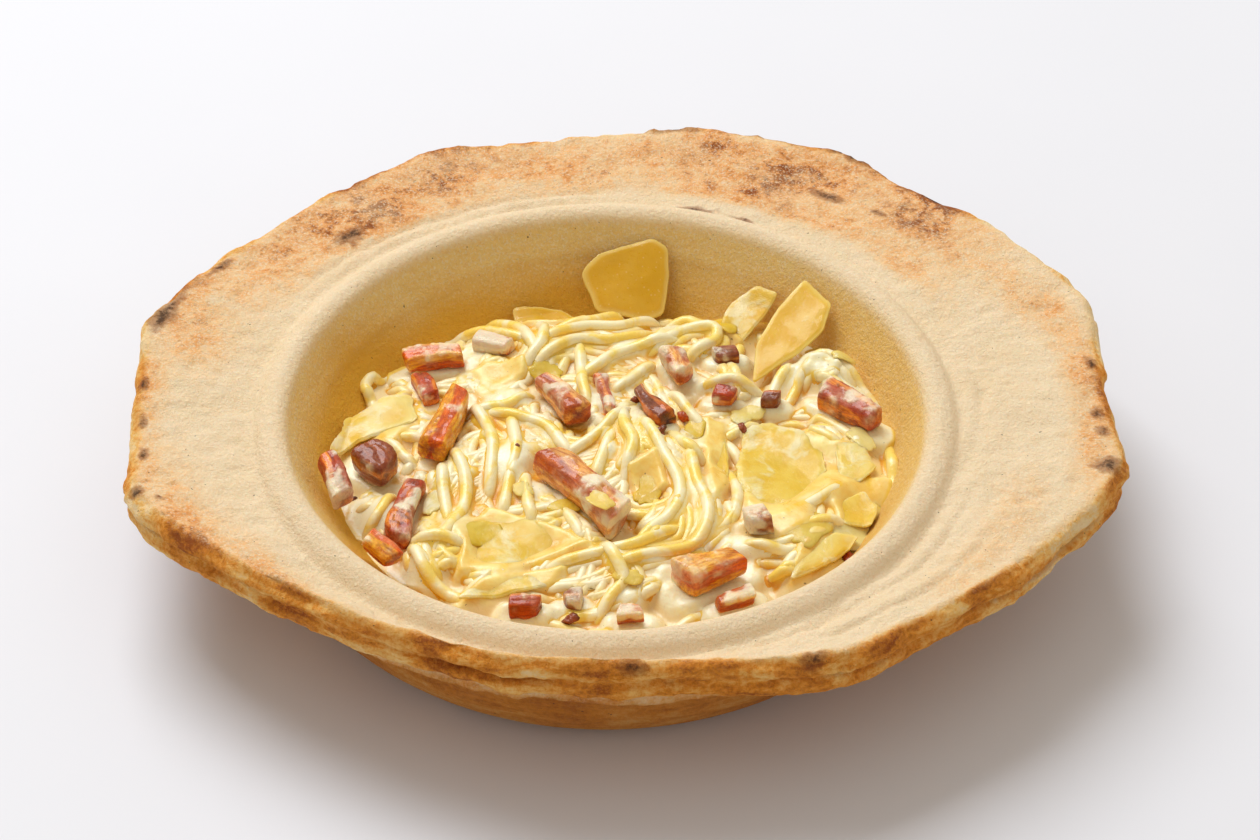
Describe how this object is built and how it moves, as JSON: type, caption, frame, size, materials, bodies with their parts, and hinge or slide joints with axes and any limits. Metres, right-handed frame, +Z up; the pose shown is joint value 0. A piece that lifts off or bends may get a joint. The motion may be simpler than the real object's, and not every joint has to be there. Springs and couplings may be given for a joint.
{
  "type": "spaghetti carbonara in an edible dough bowl",
  "caption": "Spaghetti carbonara with bacon lardons and Parmesan shavings, served in a wide-rimmed bowl of baked dough.",
  "frame": {"origin": "centre of the bowl's flat base, at the level of the surface it stands on", "axes": "+Z up; +X to the right and -Y towards the viewer with the narrow side of the rim nearest"},
  "size_m": [0.2203, 0.1951, 0.0374],
  "materials": {
    "bread": "baked dough: matt, golden cream, browned and lightly charred on the rim",
    "spaghetti": "cooked pasta coated in cream and melted cheese",
    "bacon": "fried bacon: greasy, orange to dark red",
    "parmesan": "thin hard-cheese shaving: waxy, pale yellow"
  },
  "bodies": {
    "root": {"bread_bowl": "bread", "spaghetti": "spaghetti", "bacon_01": "bacon", "bacon_02": "bacon", "bacon_03": "bacon", "bacon_04": "bacon", "bacon_05": "bacon", "bacon_06": "bacon", "bacon_07": "bacon", "bacon_08": "bacon", "bacon_09": "bacon", "bacon_10": "bacon", "bacon_11": "bacon", "bacon_12": "bacon", "bacon_13": "bacon", "bacon_14": "bacon", "bacon_15": "bacon", "bacon_16": "bacon", "bacon_17": "bacon", "bacon_18": "bacon", "bacon_19": "bacon", "bacon_20": "bacon", "bacon_21": "bacon", "bacon_22": "bacon", "bacon_23": "bacon", "parmesan_01": "parmesan", "parmesan_02": "parmesan", "parmesan_03": "parmesan", "parmesan_04": "parmesan", "parmesan_05": "parmesan", "parmesan_06": "parmesan", "parmesan_07": "parmesan", "parmesan_08": "parmesan", "parmesan_09": "parmesan", "parmesan_10": "parmesan", "parmesan_11": "parmesan", "parmesan_12": "parmesan", "parmesan_13": "parmesan", "parmesan_14": "parmesan"}
  },
  "joints": []
}
